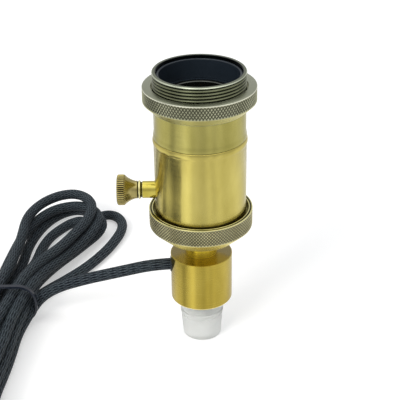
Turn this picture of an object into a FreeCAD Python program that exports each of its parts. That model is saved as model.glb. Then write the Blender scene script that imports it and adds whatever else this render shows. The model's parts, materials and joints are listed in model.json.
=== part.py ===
"""Brass E27 lamp holder for a bottle lamp: shade ring, rotary switch, side-outlet cup, stopper and cord.

Units are millimetres.  +Z is up along the holder's axis and the origin is the centre of the stopper's foot.
The switch knob and the cord point along -X.
"""
import FreeCAD, Part
import math
import os

Vector = FreeCAD.Vector
UP = Vector(0, 0, 1)
ALONG_X = Vector(1, 0, 0)
ALONG_Y = Vector(0, 1, 0)

# ---- clearances between pieces that fit together ----
running_clearance = 0.06       # a part that turns or slides in or on another
seat_clearance = 0.05          # a fixed part in its bore, on the radius
gap = 0.3                      # pieces that pass close by without touching
face_gap = 0.1                 # end faces that meet

# ---- screw shell: the E27 thread that the lamp screws into ----
thread_crest = 12.3            # smallest radius
thread_depth = 1.05
thread_pitch = 3.629
thread_turns = 5
thread_flat = 0.9
screw_shell_wall = 0.35
screw_shell_foot = 2.4         # plain length under the first crest
screw_shell_head = 4.12        # plain length over the last crest
screw_shell_foot_hole = 9.5
flange_width = 1.2
flange_thickness = 0.5

# ---- socket base ----
screw_shell_clearance = 0.3
socket_wall = 3.05
socket_floor = 9.9

# ---- insulating liner ----
liner_skirt_wall = 0.8         # beside the socket base
liner_wall = 1.1               # above it
liner_clearance = 0.15
liner_drop = 1.3               # its top below the sleeve's lip
liner_skirt = 31.0             # length below the step
liner_round = 0.35

# ---- upper sleeve ----
sleeve_wall = 1.45
sleeve_height = 29.1           # seam to lip
sleeve_flare = 0.35
sleeve_flare_length = 2.6
spigot_length = 5.7
sleeve_thread_rise = 0.2
sleeve_thread_length = 14.3
lip_bevel = 0.35
lip_height = 0.6

# ---- shade ring ----
shade_ring_wall = 4.14         # bore to knurl
shade_ring_foot_wall = 0.54
shade_ring_mouth_step = 0.49
shade_ring_height = 9.6
shade_ring_knurl_height = 6.1
shade_ring_mouth_depth = 1.2
shade_ring_drop = 6.3          # its top below the sleeve's lip
shade_ring_edge = 0.25

# ---- lower shell ----
sleeve_step = 0.3              # the shell stands out past the sleeve
shell_wall = 1.0
shell_height = 41.8
bead_height = 0.4
bead_length = 3.0

# ---- base cap ----
collar_wall = 2.0
collar_height = 9.3
cap_wall = 2.8                 # round the shell's foot
cap_cone_width = 6.35
cap_cone_height = 5.9
cap_knurl_height = 7.8
cap_floor = 2.4
cap_ledge_height = 5.8         # shell's foot above the cap's underside
cap_ledge_width = 2.5
cap_rim_wall = 1.75            # rim beside the wide mouth round the shell
cap_rim_depth = 2.0
cap_edge = 0.3

# ---- threaded nipple and its nut ----
nipple_radius = 4.95
nipple_wall = 1.35
nipple_engagement = 9.0        # how far it screws into the stopper
nipple_above_floor = 1.6
nipple_window_height = 11.0    # slot for the cores
nipple_window_margin = 0.65
nipple_nut_across_flats = 14.0
nipple_nut_height = 1.4

# ---- outlet cup ----
cup_radius = 13.75
cup_height = 23.0
cup_wall = 1.8
cup_seat_wall = 1.2            # thinner rim that takes the stopper's head
cup_top_thickness = 2.2
cup_edge = 0.3
cup_foot_round = 1.0

# ---- stopper ----
stopper_foot_radius = 8.7
stopper_lip_radius = 9.7
stopper_groove_depth = 0.8
stopper_slope = 0.3            # height of a groove's sloping side
stopper_foot_round = 0.8
stopper_taper_height = 11.0
stopper_lip_height = 1.1
stopper_height = 19.8          # foot to the cup's rim
stopper_head_height = 3.0      # disc inside the cup

# ---- switch shaft, rotor and body ----
shaft_radius = 1.75
shaft_end = 11.5
rotor_radius = 6.3
rotor_half_flat = 5.2
rotor_half_length = 6.0
switch_body_clearance = 1.8
switch_body_height = 23.0
leg_height = 8.5               # cap floor to the block
leg_radius = 2.2
leg_inset = 4.5
chamber_half_length = 9.5
chamber_margin = 1.7           # beside the rotor
chamber_floor = 3.0
detent_height = 1.5
detent_width = 3.0

# ---- switch bushing, its nut, and the knob ----
bushing_stem_wall = 1.19
bushing_step = 0.75            # collar past the stem
bushing_length = 5.8           # outside the shell
bushing_edge = 0.5
bushing_seat_gap = 0.02        # between the collar and the shell
bushing_stem_stand = 0.3       # past the nut
bushing_nut_across_flats = 9.0
bushing_nut_thickness = 2.0
body_flat_clearance = 0.4
knob_gap = 0.4
knob_neck_rise = 0.13          # past the bushing
knob_bead_rise = 0.17
knob_bead_length = 0.9
knob_neck_length = 1.2
knob_flare_rise = 2.02
knob_flare_length = 4.0
knob_flare_sag = 0.36          # share of the rise reached half way along
knob_bevel_rise = 0.8
knob_bevel_length = 0.95
knob_head_length = 3.1
knob_head_round = 0.8
knob_socket_depth = 7.6

# ---- terminals and contacts ----
terminal_size = 5.0
terminal_height = 8.0
terminal_wall = 0.9            # between a terminal's pocket and the chamber
wire_hole_clearance = 0.1
wire_hole_depth = 6.0
screw_radius = 1.4
screw_head_radius = 2.4
screw_head_height = 1.4
screw_slot_depth = 0.6
screw_slot_width = 0.6
screw_height = 3.5             # above the block's foot
strip_thickness = 0.5
strip_width = 4.4
supply_blade_stand = 2.0       # above the shaft's axis
centre_tail_stand = 1.0
contact_rise = 1.6             # tongue's tip above the socket floor
contact_bend = -3.5            # where the tongue starts to rise
contact_tip = (0.5, 2.5)

# ---- cord, its grip and the cores ----
cord_radius = 2.65
core_radius = 1.1
core_gap = 0.7                 # between the two cores
fan_rise = 0.5
cord_bushing_wall = 0.85
cord_bushing_stand = 0.2       # ring proud of the cup
grip_wall = 1.35
grip_clearance = 0.2           # under the cup's top
grip_inset = 1.55              # from the cup's bore
grip_length = 3.0
sheath_stand = 0.5             # sheath past the grip
tie_thickness = 1.0
tie_width = 2.0
tie_slack = 0.35
tie_y = 8.0

# ---- plug ----
plug_width = 35.0
plug_thickness = 13.7
plug_length = 30.0
plug_back_width = 13.0
plug_taper_length = 8.0
plug_corner = 3.0
plug_edge = 1.5
plug_cord_depth = 8.0
pin_radius = 2.0
pin_root_radius = 1.7
pin_length = 19.0
pin_seat = 8.0
pin_spacing = 18.6
pin_tip_round = 0.8
relief_length = 14.0
relief_radius = 4.6
relief_mouth_wall = 0.6

# ---- radii worked out from the sizes, from the thread outwards ----
thread_root = thread_crest + thread_depth
socket_bore = thread_root + screw_shell_wall + screw_shell_clearance
flange_radius = socket_bore + flange_width
socket_radius = socket_bore + socket_wall
liner_skirt_bore = socket_radius + seat_clearance
liner_radius = liner_skirt_bore + liner_skirt_wall
liner_bore = liner_radius - liner_wall
sleeve_bore = liner_radius + liner_clearance
sleeve_radius = sleeve_bore + sleeve_wall
sleeve_thread_radius = sleeve_radius + sleeve_thread_rise
shade_ring_bore = sleeve_thread_radius + running_clearance
shade_ring_radius = shade_ring_bore + shade_ring_wall
shell_radius = sleeve_radius + sleeve_step
shell_bore = shell_radius - shell_wall
cap_seat = shell_radius + seat_clearance
cap_radius = cap_seat + cap_wall
cap_foot_radius = cap_radius - cap_cone_width
nipple_hole = nipple_radius + seat_clearance
nipple_bore = nipple_radius - nipple_wall
collar_radius = nipple_hole + collar_wall
cup_bore = cup_radius - cup_wall
cup_seat_bore = cup_radius - cup_seat_wall
switch_body_radius = shell_bore - switch_body_clearance
leg_offset = switch_body_radius - leg_inset
shaft_bore = shaft_radius + running_clearance
bushing_stem_radius = shaft_bore + bushing_stem_wall
bushing_radius = bushing_stem_radius + bushing_step
chamber_half_width = rotor_radius + chamber_margin
terminal_x = detent_width / 2 + gap + strip_width / 2
terminal_y = chamber_half_width + terminal_wall + terminal_size / 2 + face_gap
wire_hole_radius = core_radius + wire_hole_clearance
centre_tail_y = rotor_radius + gap + strip_thickness / 2
outlet_hole_radius = cord_radius + cord_bushing_wall + 2 * seat_clearance
grip_radius = cord_radius + grip_wall
core_spread = core_radius + core_gap / 2

# ---- heights worked out from the sizes, from the stopper's foot upwards ----
cup_foot = stopper_height
cup_top = cup_foot + cup_height
outlet_height = cup_top - cup_top_thickness - grip_clearance - grip_radius
cap_underside = cup_top + collar_height
cap_floor_top = cap_underside + cap_floor
cap_rim = cap_underside + cap_cone_height + cap_knurl_height
shell_foot = cap_underside + cap_ledge_height
seam = shell_foot + shell_height
lip = seam + sleeve_height
block_foot = cap_floor_top + leg_height
shaft_height = block_foot + chamber_floor + detent_height + gap + rotor_radius
block_top = block_foot + switch_body_height
socket_floor_top = block_top + socket_floor
screw_shell_start = socket_floor_top + face_gap / 2
thread_slope = (thread_pitch - 2 * thread_flat) / 2
first_crest = screw_shell_start + screw_shell_foot
last_crest_end = first_crest + (thread_turns - 1) * thread_pitch + thread_flat + thread_slope
screw_shell_top = last_crest_end + screw_shell_head
socket_top = screw_shell_top + face_gap
liner_step = socket_top + face_gap
liner_top = lip - liner_drop
shade_ring_top = lip - shade_ring_drop
shade_ring_foot = shade_ring_top - shade_ring_height
nipple_foot = stopper_height - nipple_engagement
nipple_top = cap_floor_top + nipple_above_floor + nipple_nut_height

# ---- places along the knob's and the cord's axes ----
knob_start = shell_radius + bushing_length + knob_gap
knob_bead_end = knob_start + knob_bead_length
knob_neck_end = knob_bead_end + knob_neck_length
knob_flare_end = knob_neck_end + knob_flare_length
knob_head_start = knob_flare_end + knob_bevel_length
knob_end = knob_head_start + knob_head_length
knob_socket_end = knob_start + knob_socket_depth
nut_corner = bushing_nut_across_flats / math.sqrt(3)
bushing_nut_outer = math.sqrt(shell_bore ** 2 - nut_corner ** 2) - face_gap / 2
bushing_stem_end = bushing_nut_outer - bushing_nut_thickness - bushing_stem_stand
grip_start = grip_inset - cup_bore
sheath_end = grip_start + grip_length + sheath_stand

# ---- free cord: points chosen by hand ----
lead_route = [
    (sheath_end, 0, outlet_height), (-20, 0, outlet_height), (-38, 1.8, 31.0),
    (-54, 5.6, 24.8), (-69, 10.6, 17.0), (-83, 16.0, 7.5)]
plug_mouth = (-125.0, -14.0, 6.85)
plug_back = plug_mouth[1] + relief_length
plug_front = plug_back + plug_length
tail_end = plug_mouth[1] + plug_cord_depth
tail_route = [
    (-118.0, -72, 4.2), (-118.4, -56, 4.2), (-121.0, -40, 5.0), (-125.0, -24.5, 6.85), (-125.0, tail_end, 6.85)]
# hank sections: y, centre x, width, lowest z, highest z, corner radius
hank_sections = [
    (-94, -104.5, 24, 0, 9.5, 3.5),
    (-84, -104.5, 34, 0, 13, 4.5),
    (-60, -102.5, 31, 0, 15, 5.5),
    (-25, -96.5, 26, 0, 17, 6.5),
    (tie_y, -90.0, 23, 1.5, 19, 7.5),
    (33, -87.0, 27, 0, 17, 6.5),
    (58, -74.5, 47, 0, 15, 5.0),
    (97, -67.0, 53, 0, 14, 4.5),
    (113, -66.5, 42, 0, 13, 4.5),
    (120, -68.0, 26, 0, 11, 3.5)]


def point(radius, height):
    return Vector(radius, 0, height)


def outline_face(outline):
    """Face in the XZ plane from (r, z) corners; a (mid, end) pair of corners is an arc to end."""
    corners = [item[-1] if isinstance(item[0], tuple) else item for item in outline]
    edges = []
    for number, item in enumerate(outline):
        start = point(*corners[number - 1])
        if isinstance(item[0], tuple):
            edges.append(Part.Arc(start, point(*item[0]), point(*item[1])).toShape())
        elif (start - point(*item)).Length > 1e-6:
            edges.append(Part.LineSegment(start, point(*item)).toShape())
    return Part.Face(Part.Wire(edges))


def turned(outline):
    """Solid of revolution about Z."""
    return outline_face(outline).revolve(Vector(0, 0, 0), UP, 360)


def turned_on_x(outline, height):
    """Solid of revolution about an axis along X at a height; the outline is given as (r, x)."""
    solid = turned(outline)
    solid.rotate(Vector(0, 0, 0), ALONG_Y, 90)
    solid.translate(Vector(0, 0, height))
    return solid


def rounded(centre_r, centre_z, radius, start_angle, end_angle):
    """Arc item for an outline: its middle and end, on a circle, with angles in degrees."""
    middle = math.radians((start_angle + end_angle) / 2)
    end = math.radians(end_angle)
    return (
        (centre_r + radius * math.cos(middle), centre_z + radius * math.sin(middle)),
        (centre_r + radius * math.cos(end), centre_z + radius * math.sin(end)))


def box(x_low, x_high, y_low, y_high, z_low, z_high):
    return Part.makeBox(x_high - x_low, y_high - y_low, z_high - z_low, Vector(x_low, y_low, z_low))


def post(radius, z_low, z_high, x=0.0, y=0.0):
    return Part.makeCylinder(radius, z_high - z_low, Vector(x, y, z_low), UP)


def rod_x(radius, x_low, x_high, height, y=0.0):
    return Part.makeCylinder(radius, x_high - x_low, Vector(x_low, y, height), ALONG_X)


def rod_y(radius, y_low, y_high, x, height):
    return Part.makeCylinder(radius, y_high - y_low, Vector(x, y_low, height), ALONG_Y)


def hexagon(across_flats, thickness):
    """Hexagonal prism standing on the XY plane, centred on Z."""
    reach = across_flats / math.sqrt(3)
    corners = [Vector(reach * math.cos(math.radians(60 * k)), reach * math.sin(math.radians(60 * k)), 0)
               for k in range(7)]
    return Part.Face(Part.makePolygon(corners)).extrude(Vector(0, 0, thickness))


def bent_path(points, name, radius_limit=None):
    """Straight runs joined by tangent arcs, each as large as its two runs allow."""
    corners = [Vector(*p) for p in points]
    edges, start, length, radii = [], corners[0], 0.0, []
    for before, corner, after in zip(corners, corners[1:], corners[2:]):
        into = (before - corner).normalize()
        out = (after - corner).normalize()
        turn = math.pi - into.getAngle(out)
        reach = 0.45 * min((before - corner).Length, (after - corner).Length)
        radius = reach / math.tan(turn / 2)
        if radius_limit and radius > radius_limit:
            radius = radius_limit
            reach = radius * math.tan(turn / 2)
        radii.append(round(radius, 1))
        arc_start = corner + into * reach
        arc_end = corner + out * reach
        inward = (into + out).normalize()
        centre_distance = math.hypot(radius, reach)
        arc_middle = corner + inward * (centre_distance - radius)
        edges.append(Part.LineSegment(start, arc_start).toShape())
        edges.append(Part.Arc(arc_start, arc_middle, arc_end).toShape())
        length += (arc_start - start).Length + radius * turn
        start = arc_end
    edges.append(Part.LineSegment(start, corners[-1]).toShape())
    length += (corners[-1] - start).Length
    print(name, "length", round(length, 1), "radii", radii)
    return Part.Wire(edges), length


def tube(points, radius, name, radius_limit=None):
    path, length = bent_path(points, name, radius_limit)
    direction = Vector(*points[1]) - Vector(*points[0])
    section = Part.Wire(Part.makeCircle(radius, Vector(*points[0]), direction))
    solid = path.makePipeShell([section], True, False)
    print(name, "volume over section times length", round(solid.Volume / (math.pi * radius ** 2 * length), 4))
    return solid


def make_stopper():
    groove = stopper_lip_radius - stopper_groove_depth
    slope = stopper_slope
    taper_top = stopper_taper_height
    lip_low = taper_top + slope + stopper_groove_depth
    lip_high = lip_low + stopper_lip_height
    collar_low = lip_high + stopper_groove_depth + slope
    foot = stopper_foot_radius - stopper_foot_round
    head = cup_seat_bore - seat_clearance
    head_top = stopper_height + stopper_head_height
    hole_floor = nipple_foot - face_gap
    return turned([
        (0, 0), (foot, 0), rounded(foot, stopper_foot_round, stopper_foot_round, -90, 0),
        (stopper_lip_radius - slope, taper_top), (groove, taper_top + slope), (groove, lip_low - slope),
        (stopper_lip_radius, lip_low), (stopper_lip_radius, lip_high), (groove, lip_high + slope),
        (groove, collar_low - slope), (stopper_lip_radius, collar_low), (stopper_lip_radius, stopper_height),
        (head, stopper_height), (head, head_top), (nipple_hole, head_top), (nipple_hole, hole_floor),
        (0, hole_floor)])


def make_outlet_cup():
    ledge = stopper_height + stopper_head_height
    under_top = cup_top - cup_top_thickness
    cup = turned([
        (cup_seat_bore, cup_foot), (cup_radius - cup_foot_round, cup_foot),
        rounded(cup_radius - cup_foot_round, cup_foot + cup_foot_round, cup_foot_round, -90, 0),
        (cup_radius, cup_top - cup_edge), (cup_radius - cup_edge, cup_top), (nipple_hole, cup_top),
        (nipple_hole, under_top), (cup_bore, under_top), (cup_bore, ledge), (cup_seat_bore, ledge)])
    return cup.cut(rod_x(outlet_hole_radius, -2 * cup_radius, -nipple_radius, outlet_height))


def make_base_cap():
    cavity = cap_seat - cap_ledge_width
    mouth = cap_radius - cap_rim_wall
    mouth_low = cap_rim - cap_rim_depth
    knurl_low = cap_underside + cap_cone_height
    return turned([
        (nipple_hole, cup_top), (collar_radius, cup_top), (collar_radius, cap_underside),
        (cap_foot_radius, cap_underside), (cap_radius, knurl_low), (cap_radius, cap_rim - cap_edge),
        (cap_radius - cap_edge, cap_rim), (mouth, cap_rim), (mouth, mouth_low), (cap_seat, mouth_low),
        (cap_seat, shell_foot), (cavity, shell_foot), (cavity, cap_floor_top), (nipple_hole, cap_floor_top)])


def make_threaded_nipple():
    nipple = post(nipple_radius, nipple_foot, nipple_top).cut(post(nipple_bore, nipple_foot, nipple_top))
    half = core_spread + core_radius + nipple_window_margin
    low = outlet_height - nipple_window_height / 2
    return nipple.cut(box(-2 * nipple_radius, 0, -half, half, low, low + nipple_window_height))


def make_nipple_nut():
    nut = hexagon(nipple_nut_across_flats, nipple_nut_height)
    nut.translate(Vector(0, 0, cap_floor_top))
    return nut.cut(post(nipple_hole, cap_floor_top, nipple_top))


def make_lower_shell():
    bead = shell_radius + bead_height
    shell = turned([
        (shell_bore, shell_foot), (shell_radius, shell_foot), (shell_radius, seam - bead_length),
        ((bead, seam - bead_length / 2), (shell_radius, seam)), (shell_bore, seam)])
    return shell.cut(rod_x(bushing_stem_radius + seat_clearance, -2 * shell_radius, 0, shaft_height))


def make_upper_sleeve():
    spigot = shell_bore - seat_clearance
    thread_foot = lip - sleeve_thread_length
    flare = sleeve_radius + sleeve_flare
    return turned([
        (sleeve_bore, seam - spigot_length), (spigot, seam - spigot_length), (spigot, seam), (flare, seam),
        (flare, seam + sleeve_flare_length / 2), (sleeve_radius, seam + sleeve_flare_length),
        (sleeve_radius, thread_foot), (sleeve_thread_radius, thread_foot + sleeve_thread_rise),
        (sleeve_thread_radius, lip - lip_height), (sleeve_thread_radius - lip_bevel, lip), (sleeve_bore, lip)])


def make_shade_ring():
    bore = shade_ring_bore
    mouth = bore + shade_ring_mouth_step
    knurl_low = shade_ring_top - shade_ring_knurl_height
    mouth_low = shade_ring_top - shade_ring_mouth_depth
    return turned([
        (bore, shade_ring_foot), (bore + shade_ring_foot_wall, shade_ring_foot), (shade_ring_radius, knurl_low),
        (shade_ring_radius, shade_ring_top - shade_ring_edge),
        (shade_ring_radius - shade_ring_edge, shade_ring_top), (mouth, shade_ring_top), (mouth, mouth_low),
        (bore, mouth_low)])


def make_insulating_liner():
    foot = liner_step - liner_skirt
    edge = liner_top - liner_round
    return turned([
        (liner_skirt_bore, foot), (liner_radius, foot), (liner_radius, edge),
        rounded(liner_radius - liner_round, edge, liner_round, 0, 90), (liner_bore + liner_round, liner_top),
        rounded(liner_bore + liner_round, edge, liner_round, 90, 180), (liner_bore, liner_step),
        (liner_skirt_bore, liner_step)])


def make_socket_base():
    rebate = flange_radius + face_gap
    rebate_floor = screw_shell_top - flange_thickness - face_gap
    base = turned([
        (0, block_top), (socket_radius, block_top), (socket_radius, socket_top), (rebate, socket_top),
        (rebate, rebate_floor), (socket_bore, rebate_floor), (socket_bore, socket_floor_top),
        (0, socket_floor_top)])
    tongue_slot = strip_slot(0, -centre_tail_y, block_top, socket_floor_top)
    shell_slot = strip_slot(terminal_x, -terminal_y, block_top, socket_floor_top)
    return base.cut(tongue_slot).cut(shell_slot)


def strip_slot(x, y, z_low, z_high):
    """Upright slot that a contact strip passes through, with room round it."""
    half_width = strip_width / 2 + face_gap
    half_thickness = strip_thickness / 2 + face_gap
    return box(x - half_width, x + half_width, y - half_thickness, y + half_thickness, z_low, z_high)


def make_screw_shell():
    """Thin pressed shell: foot flange, plain foot, rolled thread, plain head and a flange that hangs it."""
    wall = screw_shell_wall
    start = screw_shell_start
    inner = [(screw_shell_foot_hole, start), (screw_shell_foot_hole, start + wall), (thread_root, start + wall)]
    outer = [(thread_root + wall, start)]
    for turn in range(thread_turns):
        level = first_crest + turn * thread_pitch
        rise = [(thread_root, level - thread_slope), (thread_crest, level), (thread_crest, level + thread_flat)]
        inner += rise
        outer += [(radius + wall, height) for radius, height in rise]
    flange_foot = screw_shell_top - flange_thickness
    inner += [(thread_root, last_crest_end), (thread_root, screw_shell_top)]
    outer += [(thread_root + wall, last_crest_end), (thread_root + wall, flange_foot),
              (flange_radius, flange_foot), (flange_radius, screw_shell_top)]
    return turned(inner + outer[::-1])


def make_centre_contact():
    """Strip that comes up from the rotor and bends into the tongue under the lamp's tip."""
    half = strip_width / 2
    thick = strip_thickness
    inner = thick / 2 - centre_tail_y
    floor = socket_floor_top
    top = floor + contact_rise
    tail = box(-half, half, inner - thick, inner, shaft_height + centre_tail_stand, floor + thick)
    tip_start, tip_end = contact_tip
    profile = [(inner, floor), (contact_bend, floor), (tip_start, top), (tip_end, top), (tip_end, top + thick),
               (tip_start, top + thick), (contact_bend, floor + thick), (inner, floor + thick), (inner, floor)]
    tongue = Part.Face(Part.makePolygon([Vector(-half, y, z) for y, z in profile]))
    return tail.fuse(tongue.extrude(Vector(strip_width, 0, 0))).removeSplitter()


def make_shell_contact():
    half = strip_width / 2
    y_low = -terminal_y - strip_thickness / 2
    return box(terminal_x - half, terminal_x + half, y_low, y_low + strip_thickness,
               block_foot + terminal_height, screw_shell_start)


def make_supply_contact():
    """Blade beside the rotor and the lug that joins it to the live terminal."""
    half = strip_width / 2
    inner = rotor_radius + gap
    foot = block_foot + chamber_floor + face_gap
    blade = box(terminal_x - half, terminal_x + half, inner, inner + strip_thickness,
                foot, shaft_height + supply_blade_stand)
    lug = box(terminal_x - half, terminal_x + half, inner, terminal_y - terminal_size / 2,
              foot, foot + strip_thickness)
    return blade.fuse(lug).removeSplitter()


def terminal_pocket(side):
    half = terminal_size / 2 + face_gap
    centre = side * terminal_y
    return box(terminal_x - half, terminal_x + half, centre - half, centre + half,
               block_foot, block_foot + terminal_height)


def make_terminal_block(side):
    half = terminal_size / 2
    centre = side * terminal_y
    block = box(terminal_x - half, terminal_x + half, centre - half, centre + half,
                block_foot, block_foot + terminal_height)
    wire_hole = post(wire_hole_radius, block_foot, block_foot + wire_hole_depth, terminal_x, centre)
    outer = sorted((centre, side * (terminal_y + half)))
    screw_hole = rod_y(screw_radius + seat_clearance, *outer, terminal_x, block_foot + screw_height)
    return block.cut(wire_hole).cut(screw_hole)


def make_terminal_screw(side):
    height = block_foot + screw_height
    tip = terminal_y + core_radius + face_gap / 2
    head = terminal_y + terminal_size / 2 + face_gap / 2
    top = head + screw_head_height
    shank = rod_y(screw_radius, *sorted((side * tip, side * head)), terminal_x, height)
    cap = rod_y(screw_head_radius, *sorted((side * head, side * top)), terminal_x, height)
    slot = box(terminal_x - screw_head_radius, terminal_x + screw_head_radius,
               *sorted((side * (top - screw_slot_depth), side * top)),
               height - screw_slot_width / 2, height + screw_slot_width / 2)
    return shank.fuse(cap).cut(slot)


def make_switch_body():
    """Block on two legs, with the rotor's chamber, the shaft's bore and the terminals' pockets."""
    body = post(switch_body_radius, block_foot, block_top)
    for side in (-1, 1):
        body = body.fuse(post(leg_radius, cap_floor_top, block_foot, side * leg_offset, 0))
    chamber = box(-chamber_half_length, chamber_half_length, -chamber_half_width, chamber_half_width,
                  block_foot + chamber_floor, block_top)
    flat = box(-switch_body_radius, body_flat_clearance - bushing_stem_end,
               -bushing_nut_across_flats, bushing_nut_across_flats,
               shaft_height - bushing_nut_across_flats, shaft_height + bushing_nut_across_flats)
    bore = rod_x(shaft_bore, -switch_body_radius, shaft_end + face_gap, shaft_height)
    body = body.cut(chamber).cut(flat).cut(bore)
    for side in (-1, 1):
        head_bore = rod_y(screw_head_radius + face_gap, *sorted((side * terminal_y, side * switch_body_radius)),
                          terminal_x, block_foot + screw_height)
        body = body.cut(terminal_pocket(side)).cut(head_bore)
    half = strip_width / 2 + face_gap
    lug_foot = block_foot + chamber_floor
    lug_slot = box(terminal_x - half, terminal_x + half, rotor_radius, terminal_y,
                   lug_foot, lug_foot + strip_thickness + 2 * face_gap)
    return body.cut(lug_slot).cut(strip_slot(terminal_x, -terminal_y, block_foot + terminal_height, block_top))


def make_switch_rotor():
    drum = rod_x(rotor_radius, -rotor_half_length, rotor_half_length, shaft_height)
    flats = box(-rotor_half_length, rotor_half_length, -rotor_half_flat, rotor_half_flat,
                shaft_height - rotor_half_flat, shaft_height + rotor_half_flat)
    bore = rod_x(shaft_radius, -rotor_half_length, rotor_half_length, shaft_height)
    return drum.common(flats).cut(bore)


def make_switch_shaft():
    return rod_x(shaft_radius, -knob_socket_end, shaft_end, shaft_height)


def make_detent_spring():
    top = shaft_height - rotor_radius - gap
    foot = block_foot + chamber_floor
    outer = chamber_half_width - gap
    half = detent_width / 2
    leaf = box(-half, half, -outer, outer, top - strip_thickness, top)
    legs = [box(-half, half, *sorted((side * outer, side * (outer - strip_thickness))), foot, top)
            for side in (-1, 1)]
    return leaf.fuse(legs).removeSplitter()


def make_bushing_nut():
    nut = hexagon(bushing_nut_across_flats, bushing_nut_thickness)
    nut.rotate(Vector(0, 0, 0), UP, 30)
    nut.rotate(Vector(0, 0, 0), ALONG_Y, 90)
    nut.translate(Vector(-bushing_nut_outer, 0, shaft_height))
    return nut.cut(rod_x(bushing_stem_radius + seat_clearance, -shell_radius, 0, shaft_height))


def make_switch_bushing():
    """Collar outside the shell, cut to its curve, and the stem that passes through to the nut."""
    end = shell_radius + bushing_length
    collar = turned_on_x([
        (shaft_bore, -end), (bushing_radius - bushing_edge, -end), (bushing_radius, -end + bushing_edge),
        (bushing_radius, -shell_radius / 2), (shaft_bore, -shell_radius / 2)], shaft_height)
    collar = collar.cut(post(shell_radius + bushing_seat_gap, shaft_height - 2 * bushing_radius,
                             shaft_height + 2 * bushing_radius))
    root = math.sqrt(shell_radius ** 2 - bushing_stem_radius ** 2) + face_gap
    stem = rod_x(bushing_stem_radius, -root - bushing_length / 2, -bushing_stem_end, shaft_height)
    stem = stem.cut(rod_x(shaft_bore, -2 * shell_radius, 0, shaft_height))
    return collar.fuse(stem).removeSplitter()


def make_switch_knob():
    """Turned knob: bead, neck, flare, bevel and head, with a blind socket for the shaft."""
    neck = bushing_radius + knob_neck_rise
    shoulder = neck + knob_flare_rise
    head = shoulder + knob_bevel_rise
    bead_middle = (neck + knob_bead_rise, -(knob_start + knob_bead_end) / 2)
    flare_middle = (neck + knob_flare_rise * knob_flare_sag, -(knob_neck_end + knob_flare_end) / 2)
    round_start = -(knob_end - knob_head_round)
    return turned_on_x([
        (shaft_radius, -knob_start), (neck, -knob_start), (bead_middle, (neck, -knob_bead_end)),
        (neck, -knob_neck_end), (flare_middle, (shoulder, -knob_flare_end)),
        (head, -knob_head_start), (head, round_start),
        rounded(head - knob_head_round, round_start, knob_head_round, 0, -90),
        (0, -knob_end), (0, -knob_socket_end), (shaft_radius, -knob_socket_end)], shaft_height)


def make_cord_bushing():
    outer = outlet_hole_radius - seat_clearance
    ring = rod_x(outer, -cup_radius - cord_bushing_stand, gap - cup_bore, outlet_height)
    return ring.cut(rod_x(cord_radius + seat_clearance, -2 * cup_radius, 0, outlet_height))


def make_cord_grip():
    ring = rod_x(grip_radius, grip_start, grip_start + grip_length, outlet_height)
    return ring.cut(rod_x(cord_radius, -cup_radius, 0, outlet_height))


def make_core(side, name):
    """One core of the cord: through the nipple's window, up its bore and out to a terminal."""
    fan_height = (nipple_top + block_foot) / 2
    return tube([
        (sheath_end, side * core_spread, outlet_height), (0, side * core_spread, outlet_height),
        (0, side * core_spread, fan_height - fan_rise), (terminal_x, side * terminal_y, fan_height + fan_rise),
        (terminal_x, side * terminal_y, block_foot + wire_hole_depth - face_gap)],
        core_radius, name, radius_limit=2 * core_radius)


def rounded_rectangle(y, centre, width, low, high, corner):
    """Closed wire across the hank at one y."""
    left, right = centre - width / 2, centre + width / 2
    diagonal = corner * (1 - math.sqrt(0.5))
    edges = []
    corners = [(left, low, 1, 1), (left, high, 1, -1), (right, high, -1, -1), (right, low, -1, 1)]
    ends = []
    for x, z, dx, dz in corners:
        along_z = Vector(x, y, z + dz * corner)
        along_x = Vector(x + dx * corner, y, z)
        middle = Vector(x + dx * diagonal, y, z + dz * diagonal)
        first, last = (along_x, along_z) if (x == left) == (z == low) else (along_z, along_x)
        ends.append((first, middle, last))
    for number, (first, middle, last) in enumerate(ends):
        edges.append(Part.Arc(first, middle, last).toShape())
        edges.append(Part.LineSegment(last, ends[(number + 1) % 4][0]).toShape())
    return Part.Wire(edges)


def make_cord_hank():
    return Part.makeLoft([rounded_rectangle(*section) for section in hank_sections], True, True)


def make_cord_tie():
    """Band round the hank at its waist."""
    at_tie = next(section for section in hank_sections if section[0] == tie_y)
    _, centre, width, low, high, corner = at_tie
    half = tie_width / 2
    solids = []
    for offset in (tie_slack + tie_thickness, tie_slack):
        wire = rounded_rectangle(tie_y - half, centre, width + 2 * offset, low - offset, high + offset,
                                 corner + offset)
        solids.append(Part.Face(wire).extrude(Vector(0, tie_width, 0)))
    return solids[0].cut(solids[1])


def make_plug_body():
    """Flat plug with a narrower back, rounded rims, a tapered cord relief and seats for two pins."""
    x, y, z = plug_mouth
    half = plug_width / 2
    back_half = plug_back_width / 2
    waist = plug_back + plug_taper_length
    corner = plug_corner
    outline = [(-back_half, plug_back), (back_half, plug_back), (half, waist), (half, plug_front - corner),
               (half - corner, plug_front), (corner - half, plug_front), (-half, plug_front - corner),
               (-half, waist), (-back_half, plug_back)]
    floor = z - plug_thickness / 2
    body = Part.Face(Part.makePolygon([Vector(x + across, along, floor) for across, along in outline]))
    body = body.extrude(Vector(0, 0, plug_thickness))
    rims = [edge for edge in body.Edges if edge.BoundBox.ZLength < plug_edge]
    body = body.makeFillet(plug_edge, rims)
    relief = Part.makeCone(cord_radius + relief_mouth_wall, relief_radius, relief_length + plug_edge,
                           Vector(x, y, z), ALONG_Y)
    body = body.fuse(relief).removeSplitter()
    for side in (-1, 1):
        body = body.cut(rod_y(pin_root_radius, plug_front - pin_seat, plug_front, x + side * pin_spacing / 2, z))
    return body.cut(rod_y(cord_radius, y, y + plug_cord_depth, x, z))


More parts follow.
